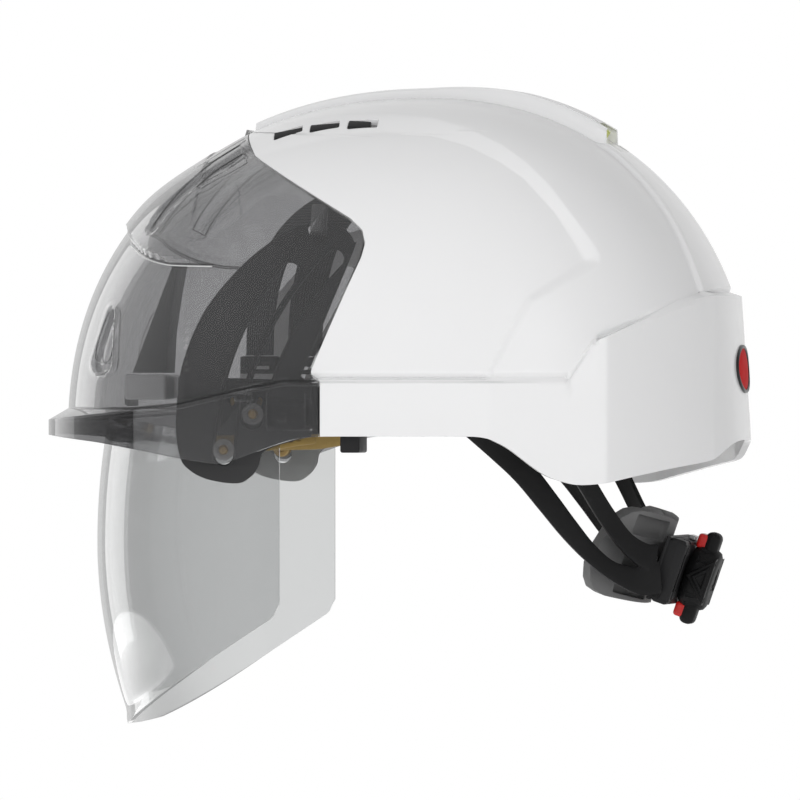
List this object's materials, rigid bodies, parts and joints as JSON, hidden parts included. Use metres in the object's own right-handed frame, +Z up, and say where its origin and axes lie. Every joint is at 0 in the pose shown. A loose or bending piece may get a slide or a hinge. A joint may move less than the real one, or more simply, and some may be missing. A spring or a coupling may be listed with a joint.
{
  "type": "hard hat",
  "caption": "Vented safety helmet with a smoke-tinted front and peak, a clear face shield that slides up into the shell on curved tracks, a webbing harness and a rear ratchet wheel.",
  "frame": {"origin": "where the head sits: on the mid-plane, at the height of the shell's side rim", "axes": "-X the way the wearer faces, +Y the wearer's right, +Z up"},
  "size_m": [0.3057, 0.2308, 0.2777],
  "materials": {
    "white_shell": "gloss",
    "smoke_shell": "clear gloss",
    "pocket_smoke": "clear gloss",
    "tab_green": "satin",
    "badge_red": "gloss",
    "track_grey": "satin",
    "visor_clear": "clear gloss",
    "pin_brass": "satin",
    "washer_grey": "satin",
    "harness_black": "satin",
    "webbing_black": "woven",
    "sweatband_tan": "soft",
    "spacer_grey": "satin",
    "pad_foam": "soft",
    "nape_grey": "matte",
    "arm_black": "satin",
    "case_black": "satin",
    "knob_rubber": "matte",
    "insert_red": "satin",
    "clip_grey": "satin"
  },
  "bodies": {
    "helmet": {"rear_shell": "white_shell", "front_shell": "smoke_shell", "slot_pocket_left": "pocket_smoke", "slot_pocket_right": "pocket_smoke", "ridge_vent_tab": "tab_green", "rear_badge": "badge_red", "track_plate_left": "track_grey", "track_plate_right": "track_grey", "headband": "harness_black", "brow_bracket": "harness_black", "brow_rib": "harness_black", "crown_strap_cross_left_clip_front": "harness_black", "crown_strap_cross_left_clip_rear": "harness_black", "crown_strap_cross_right_clip_front": "harness_black", "crown_strap_cross_right_clip_rear": "harness_black", "crown_strap_middle_clip_front": "harness_black", "crown_strap_middle_clip_rear": "harness_black", "hanger_front_left": "harness_black", "hanger_front_right": "harness_black", "hanger_rear_left": "harness_black", "hanger_rear_right": "harness_black", "crown_strap_cross_left": "webbing_black", "crown_strap_cross_right": "webbing_black", "crown_strap_middle": "webbing_black", "sweatband": "sweatband_tan", "brow_spacer": "spacer_grey", "crown_pad": "pad_foam", "nape_pad": "nape_grey", "nape_arm_left": "arm_black", "nape_arm_right": "arm_black", "ratchet_front_case": "case_black", "ratchet_back_case": "case_black", "ratchet_clip": "clip_grey"},
    "visor": {"visor": "visor_clear", "visor_pin_front_left": "pin_brass", "visor_pin_front_right": "pin_brass", "visor_pin_rear_left": "pin_brass", "visor_pin_rear_right": "pin_brass", "pin_washer_front_left": "washer_grey", "pin_washer_front_right": "washer_grey", "pin_washer_rear_left": "washer_grey", "pin_washer_rear_right": "washer_grey"},
    "knob": {"ratchet_knob": "knob_rubber", "pinion": "case_black", "knob_insert_top": "insert_red", "knob_insert_bottom": "insert_red"},
    "rack_left": {"rack_left": "arm_black"},
    "rack_right": {"rack_right": "arm_black"}
  },
  "joints": [
    {"name": "visor_swing", "type": "hinge", "parent": "helmet", "child": "visor", "pos_m": [0.0755, 0, -0.0148], "axis": [0, 1, 0], "range_deg": [0, 31]},
    {"name": "knob_turn", "type": "hinge", "parent": "helmet", "child": "knob", "pos_m": [0.1309, 0, -0.0613], "axis": [0.9455, 0, -0.3256], "range_deg": [0, 120]},
    {"name": "rack_left_slide", "type": "slide", "parent": "helmet", "child": "rack_left", "axis": [0, 1, 0], "range_m": [0, 0.01258]},
    {"name": "rack_right_slide", "type": "slide", "parent": "helmet", "child": "rack_right", "axis": [0, -1, 0], "range_m": [0, 0.01258]}
  ],
  "couplings": [
    {"joint": "rack_left_slide", "follows": "knob_turn", "m_per_rad": 0.006},
    {"joint": "rack_right_slide", "follows": "knob_turn", "m_per_rad": 0.006}
  ]
}
